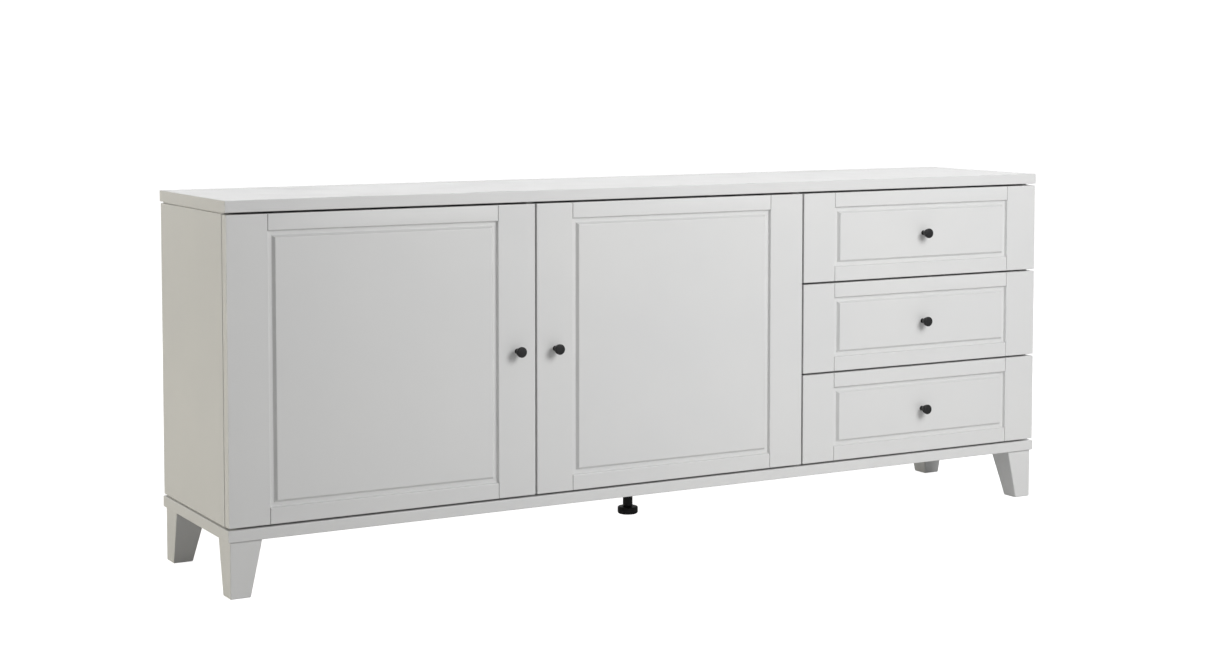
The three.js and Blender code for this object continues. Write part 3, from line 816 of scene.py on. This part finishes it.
class SIDEBOARD_OT_knobs(bpy.types.Operator):
    """Models the five knobs"""

    bl_idname = "sideboard.knobs"
    bl_label = "Knobs"

    def execute(self, context):
        sizes = context.scene.sideboard_sizes
        for leaf in LEAVES:
            name = f"{leaf}_knob"
            low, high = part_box(name)
            seat = ((low.x + high.x) / 2, FRONT_FACE_Y, (low.z + high.z) / 2)
            profile = knob_profile(low, high)
            piece = turned(f"{name}_turned", profile, seat, FORWARDS, sizes.turned_sides)
            flat_and_smooth(piece, SMALL_SHARP_ANGLE)
            put(piece, "black_metal", BODIES[name], name)
        return {"FINISHED"}


class SIDEBOARD_OT_legs(bpy.types.Operator):
    """Models the four block legs"""

    bl_idname = "sideboard.legs"
    bl_label = "Legs"

    def execute(self, context):
        sizes = context.scene.sideboard_sizes
        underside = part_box("base_board")[0].z
        for row in ("front", "back"):
            for end in ("left", "right"):
                name = f"leg_{row}_{end}"
                low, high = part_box(name)
                piece = box_between(f"{name}_lacquered", low, (high.x, high.y, underside - JOIN))
                inwards_x = 1 if end == "left" else -1
                inwards_y = 1 if row == "front" else -1
                taper = high.x - low.x - sizes.leg_foot
                centre = (low + high) / 2
                for axis, inwards in ((0, inwards_x), (1, inwards_y)):

                    def is_inner_corner(vert):
                        return vert.co.z < centre.z and (vert.co[axis] - centre[axis]) * inwards > 0

                    pick(piece, "VERT", is_inner_corner)
                    move = [0, 0, 0]
                    move[axis] = -inwards * taper
                    bpy.ops.transform.translate(value=move)
                    leave()
                round_all_edges(piece, sizes.leg_round)
                flat_and_smooth(piece)
                put(piece, "lacquer", "carcass", name)
        return {"FINISHED"}


def sleeve_profile(low, high, top):
    """The sleeve up to the base board, from the end of its bore, its lower mouth and rim eased."""
    radius = (high.x - low.x) / 2
    rim_r = radius - SLEEVE_RIM
    return [
        (0, SLEEVE_BORE_END), (SLEEVE_BORE_R, SLEEVE_BORE_END), (SLEEVE_BORE_R, SLEEVE_MOUTH),
        (SLEEVE_BORE_R + SLEEVE_MOUTH, 0), (rim_r, 0),
        *arc(rim_r, SLEEVE_RIM, SLEEVE_RIM, -90, 0, 4),
        (radius, top - low.z), (0, top - low.z),
    ]


def disc_profile(low, high, top):
    """The disc with its soft rims, and the threaded spindle that stands on it."""
    radius = (high.x - low.x) / 2
    disc = top - low.z
    profile = [(0, 0), (radius - DISC_LOWER_RIM, 0)]
    profile += arc(radius - DISC_LOWER_RIM, DISC_LOWER_RIM, DISC_LOWER_RIM, -90, 0, 6)
    profile += arc(radius - DISC_UPPER_RIM, disc - DISC_UPPER_RIM, DISC_UPPER_RIM, 0, 90, 6)
    profile += [(THREAD_R, disc)]
    height = disc + THREAD_PITCH
    while height + THREAD_PITCH < high.z - low.z:
        profile += [(THREAD_R, height), (THREAD_R - THREAD_DEPTH, height + THREAD_PITCH / 2)]
        height += THREAD_PITCH
    return [*profile, (THREAD_R, height), (0, height)]


class SIDEBOARD_OT_support_foot(bpy.types.Operator):
    """Models the sleeve and the threaded disc of the support foot"""

    bl_idname = "sideboard.support_foot"
    bl_label = "Support foot"

    def execute(self, context):
        sizes = context.scene.sideboard_sizes
        board_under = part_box("base_board")[0].z
        sleeve_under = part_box("centre_foot_sleeve")[0].z
        for name, body, profile_of, top in (
            ("centre_foot_sleeve", "carcass", sleeve_profile, board_under - JOIN),
            ("centre_foot_disc", "centre_foot", disc_profile, sleeve_under - JOIN),
        ):
            low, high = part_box(name)
            seat = ((low.x + high.x) / 2, (low.y + high.y) / 2, low.z)
            profile = profile_of(low, high, top)
            piece = turned(f"{name}_moulded", profile, seat, UP, sizes.turned_sides)
            flat_and_smooth(piece)
            put(piece, "black_plastic", body, name)
        return {"FINISHED"}


class SIDEBOARD_OT_fittings(bpy.types.Operator):
    """Models hinges and shelf pins"""

    bl_idname = "sideboard.fittings"
    bl_label = "Fittings"

    def execute(self, context):
        for name in BODIES:
            if "hinge" in name or "shelf_pin" in name:
                eased_copy(name, "steel", FITTING_ROUND)
        return {"FINISHED"}


def screw_head(name, radius, height):
    """A flat-domed screw head with a cross recess, its seat on the origin, facing up."""
    rim = height * SCREW_RIM
    profile = [(radius, 0), *arc(radius - rim, height - rim, rim, 0, 70, 4)]
    profile += [(radius * 0.45, height * 1.02), (0, height * 1.04)]
    head = turned(name, profile, (0, 0, 0), UP, SMALL_SIDES)
    recess = []
    for turn in (0, math.pi / 2):
        deselect()
        bpy.ops.mesh.primitive_cube_add(size=1)
        blade = bpy.context.active_object
        blade.scale = (radius * RECESS_LENGTH, radius * RECESS_WIDTH, height * RECESS_TALL)
        blade.location = (0, 0, height * (RECESS_FLOOR + RECESS_TALL / 2))
        blade.rotation_euler = (0, 0, turn)
        recess.append(settle(blade))
    cut_away(head, recess)
    flat_and_smooth(head, SMALL_SHARP_ANGLE)
    return head


def fastened(master, name, at, direction, turn, body, slot="steel"):
    """A copy of a screw head or pad, with its own mesh, seated at a point and facing along direction."""
    piece = copy_of(master, name)
    piece.rotation_mode = "QUATERNION"
    facing = Vector(UP).rotation_difference(Vector(direction))
    piece.rotation_quaternion = facing @ Quaternion(UP, turn)
    piece.location = at
    return put(settle(piece), slot, body)


def hinge_screws(door, inwards, level):
    """Places of the screws in a hinge's cup, base plate and arm."""
    places = []
    low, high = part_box(f"{door}_hinge_cup_{level}")
    middle = (low + high) / 2
    ear = (high.z - low.z) / 2 - CUP_SCREW_FROM_END
    for sign in (-1, 1):
        places.append(("cup", (middle.x, high.y, middle.z + sign * ear), BACKWARDS, door))
    low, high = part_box(f"{door}_hinge_arm_{level}")
    foot, crown = (low.x, high.x) if inwards > 0 else (high.x, low.x)
    deck = foot + inwards * PLATE_THICKNESS
    plate_y = high.y - PLATE_SCREW_FROM_REAR
    reach = (high.z - low.z) / 2 - PLATE_SCREW_FROM_END
    across = (inwards, 0, 0)
    for sign in (-1, 1):
        places.append(("plate", (deck, plate_y, middle.z + sign * reach), across, "carcass"))
    for from_rear in ARM_SCREWS_FROM_REAR:
        places.append(("arm", (crown, high.y - from_rear, middle.z), across, "carcass"))
    return places


def knob_screws():
    places = []
    for leaf in LEAVES:
        low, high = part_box(f"{leaf}_knob")
        seat = ((low.x + high.x) / 2, INNER_FACE_Y, (low.z + high.z) / 2)
        places.append(("knob", seat, BACKWARDS, BODIES[f"{leaf}_front"]))
    return places


def back_screws():
    """Places of the screws along the back panel's ends and over the two partitions."""
    low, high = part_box("back_panel")
    columns = [low.x + BACK_SCREW_FROM_EDGE, high.x - BACK_SCREW_FROM_EDGE]
    for partition in ("partition_left", "partition_right"):
        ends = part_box(partition)
        columns.append((ends[0].x + ends[1].x) / 2)
    span = high.z - low.z - 2 * BACK_SCREW_FROM_END
    places = []
    for x in columns:
        for row in range(BACK_SCREW_ROWS):
            z = low.z + BACK_SCREW_FROM_END + span * row / (BACK_SCREW_ROWS - 1)
            places.append(("back", (x, high.y, z), BACKWARDS, "carcass"))
    return places


class SIDEBOARD_OT_screws(bpy.types.Operator):
    """Models the screw heads on hinges, knobs and back panel"""

    bl_idname = "sideboard.screws"
    bl_label = "Screws"

    def execute(self, context):
        places = []
        for door, inwards in (("door_left", 1), ("door_right", -1)):
            for level in ("upper", "lower"):
                places += hinge_screws(door, inwards, level)
        places += knob_screws() + back_screws()
        masters = {
            kind: screw_head(f"{kind}_screw_master", radius, height)
            for kind, (radius, height) in SCREW_HEADS.items()
        }
        turns = random.Random(SCREW_TURNS_SEED)
        for number, (kind, at, direction, body) in enumerate(places):
            turn = turns.uniform(0, math.pi)
            fastened(masters[kind], f"{kind}_screw_{number:02d}", at, direction, turn, body)
        for master in masters.values():
            bpy.data.objects.remove(master, do_unlink=True)
        return {"FINISHED"}


def pad_columns():
    """Where pads stand across each door and drawer front: in the middle of its overlap on a board."""
    left_low, left_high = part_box("partition_left")
    right_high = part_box("partition_right")[1]
    side_low, side_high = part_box("side_panel_right")
    columns = {
        "door_left": [(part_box("door_left_front")[1].x + left_low.x) / 2],
        "door_right": [(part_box("door_right_front")[0].x + left_high.x) / 2],
    }
    for which in DRAWERS:
        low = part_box(f"drawer_{which}_front")[0]
        columns[f"drawer_{which}"] = [(low.x + right_high.x) / 2, (side_low.x + side_high.x) / 2]
    return columns


class SIDEBOARD_OT_bumpers(bpy.types.Operator):
    """Models the soft pads that doors and drawer fronts close against"""

    bl_idname = "sideboard.bumpers"
    bl_label = "Bumper pads"

    def execute(self, context):
        profile = [(PAD_R, 0)]
        profile += arc(PAD_R - PAD_RIM, PAD_THICKNESS - PAD_RIM, PAD_RIM, 0, 90, 4)
        profile += [(PAD_R / 2, PAD_THICKNESS), (0, PAD_THICKNESS)]
        master = turned("pad_master", profile, (0, 0, 0), UP, SMALL_SIDES)
        flat_and_smooth(master, SMALL_SHARP_ANGLE)
        for leaf, columns in pad_columns().items():
            low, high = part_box(f"{leaf}_front")
            body = BODIES[f"{leaf}_front"]
            for column, x in enumerate(columns):
                for row, z in enumerate((low.z + PAD_FROM_END, high.z - PAD_FROM_END)):
                    name = f"{leaf}_pad_{column}_{row}"
                    at = (x, INNER_FACE_Y, z)
                    fastened(master, name, at, BACKWARDS, 0, body, "black_plastic")
        bpy.data.objects.remove(master, do_unlink=True)
        return {"FINISHED"}


class SIDEBOARD_OT_drawer_boxes(bpy.types.Operator):
    """Models the drawer boxes and their runners"""

    bl_idname = "sideboard.drawer_boxes"
    bl_label = "Drawer boxes"

    def execute(self, context):
        sizes = context.scene.sideboard_sizes
        for which in DRAWERS:
            for part in ("side_left", "side_right", "back", "bottom"):
                eased_copy(f"drawer_{which}_{part}", "lacquer_inside", sizes.inner_round)
            for end in ("left", "right"):
                eased_copy(f"drawer_{which}_runner_{end}", "beech", RUNNER_ROUND)
        return {"FINISHED"}


# ---------------------------------------------------------------- stage

FLOOR_SIZE = 40
FLOOR_BELOW = 0.5 * MM
SENSOR_WIDTH = 36
WHITE = (1, 1, 1)
LIGHTS = {
    "key_light": {"at": (0.85, -2.4, 1.72), "towards": (0.3, -0.18, 0.42), "size": (1.35, 1.35)},
    "side_light": {"at": (-3.2, 0.6, 0.5), "towards": (-0.95, 0.0, 0.2), "size": (1.2, 0.8)},
    "back_light": {"at": (2.2, 3.4, 2.1), "towards": (0.0, 0.1, 0.6), "size": (5.0, 1.0)},
}


def softbox(name, watts, tint=WHITE):
    place = LIGHTS[name]
    at, towards = Vector(place["at"]), Vector(place["towards"])
    data = bpy.data.lights.new(name, "AREA")
    data.shape = "RECTANGLE"
    data.size, data.size_y = place["size"]
    data.energy, data.color = watts, tint
    light = bpy.data.objects.new(name, data)
    bpy.context.scene.collection.objects.link(light)
    light.location = at
    light.rotation_euler = (towards - at).to_track_quat("-Z", "Y").to_euler()


def studio_floor(stage):
    """A pale matt floor that looks brighter to the camera than the light it sheds."""
    deselect()
    bpy.ops.mesh.primitive_plane_add(size=FLOOR_SIZE, location=(0, 0, -FLOOR_BELOW))
    floor = settle(named(bpy.context.active_object, "studio_floor"))
    material, tree, shader, _ = new_finish("pale_floor", tuple(stage.floor), 0.9)
    shader.inputs["Specular IOR Level"].default_value = 0.1
    shader.inputs["Emission Color"].default_value = (*WHITE, 1)
    seen = node(tree, "ShaderNodeLightPath").outputs["Is Camera Ray"]
    brightness = spread(tree, seen, 0.0, stage.floor_glow, 0.0, 1.0)
    tree.links.new(brightness, shader.inputs["Emission Strength"])
    floor.data.materials.append(material)


def studio_world(stage):
    """Even surroundings, brighter to the camera and in reflections than the light they shed."""
    world = bpy.data.worlds.new("studio")
    world.use_nodes = True
    tree = world.node_tree
    path = node(tree, "ShaderNodeLightPath").outputs
    inputs = [(0, path["Is Camera Ray"]), (1, path["Is Glossy Ray"])]
    looked_at = node(tree, "ShaderNodeMath", inputs, operation="MAXIMUM").outputs["Value"]
    background = tree.nodes["Background"]
    background.inputs["Color"].default_value = (*WHITE, 1)
    brightness = spread(tree, looked_at, stage.sky, stage.backdrop, 0.0, 1.0)
    tree.links.new(brightness, background.inputs["Strength"])
    world.cycles.sampling_method = "NONE"
    return world


def studio_camera(stage):
    data = bpy.data.cameras.new("camera")
    data.lens, data.sensor_width, data.shift_y = stage.lens, SENSOR_WIDTH, stage.rise
    data.clip_start, data.clip_end = 0.1, 100
    camera = bpy.data.objects.new("camera", data)
    bpy.context.scene.collection.objects.link(camera)
    camera.location = stage.camera_at
    camera.rotation_euler = (math.pi / 2 - stage.camera_tilt, 0, -stage.camera_turn)
    return camera


class SIDEBOARD_OT_stage(bpy.types.Operator):
    """Sets up floor, lights and camera"""

    bl_idname = "sideboard.stage"
    bl_label = "Stage"

    def execute(self, context):
        scene = context.scene
        stage = scene.sideboard_stage
        studio_floor(stage)
        scene.world = studio_world(stage)
        softbox("key_light", stage.key_power)
        softbox("side_light", stage.side_power, stage.side_tint)
        softbox("back_light", stage.back_power)
        scene.camera = studio_camera(stage)
        scene.view_settings.view_transform = "Standard"
        scene.view_settings.look = "None"
        return {"FINISHED"}


# ---------------------------------------------------------------- panel and run

OPERATORS = (
    SIDEBOARD_OT_stage,
    SIDEBOARD_OT_long_boards,
    SIDEBOARD_OT_side_panels,
    SIDEBOARD_OT_hidden_boards,
    SIDEBOARD_OT_doors,
    SIDEBOARD_OT_drawer_fronts,
    SIDEBOARD_OT_knobs,
    SIDEBOARD_OT_legs,
    SIDEBOARD_OT_support_foot,
    SIDEBOARD_OT_fittings,
    SIDEBOARD_OT_screws,
    SIDEBOARD_OT_bumpers,
    SIDEBOARD_OT_drawer_boxes,
)


class SIDEBOARD_PT_panel(bpy.types.Panel):
    """Lists the sideboard's operators and settings"""

    bl_idname = "SIDEBOARD_PT_panel"
    bl_label = "Sideboard"
    bl_space_type = "VIEW_3D"
    bl_region_type = "UI"
    bl_category = "Sideboard"

    def draw(self, context):
        for group in SETTINGS:
            settings = getattr(context.scene, group)
            box = self.layout.box()
            for prop in settings.bl_rna.properties:
                if prop.identifier not in {"rna_type", "name"}:
                    box.prop(settings, prop.identifier)
        for operator in OPERATORS:
            self.layout.operator(operator.bl_idname)


SETTINGS = {
    "sideboard_sizes": SideboardSizes,
    "sideboard_finish": SideboardFinish,
    "sideboard_stage": SideboardStage,
}
CLASSES = (*SETTINGS.values(), *OPERATORS, SIDEBOARD_PT_panel)


def register():
    for cls in CLASSES:
        bpy.utils.register_class(cls)
    for name, cls in SETTINGS.items():
        setattr(bpy.types.Scene, name, PointerProperty(type=cls))


def unregister():
    for name in SETTINGS:
        delattr(bpy.types.Scene, name)
    for cls in reversed(CLASSES):
        bpy.utils.unregister_class(cls)


def main():
    register()
    for operator in OPERATORS:
        group, name = operator.bl_idname.split(".")
        getattr(getattr(bpy.ops, group), name)()


if __name__ == "__main__":
    main()
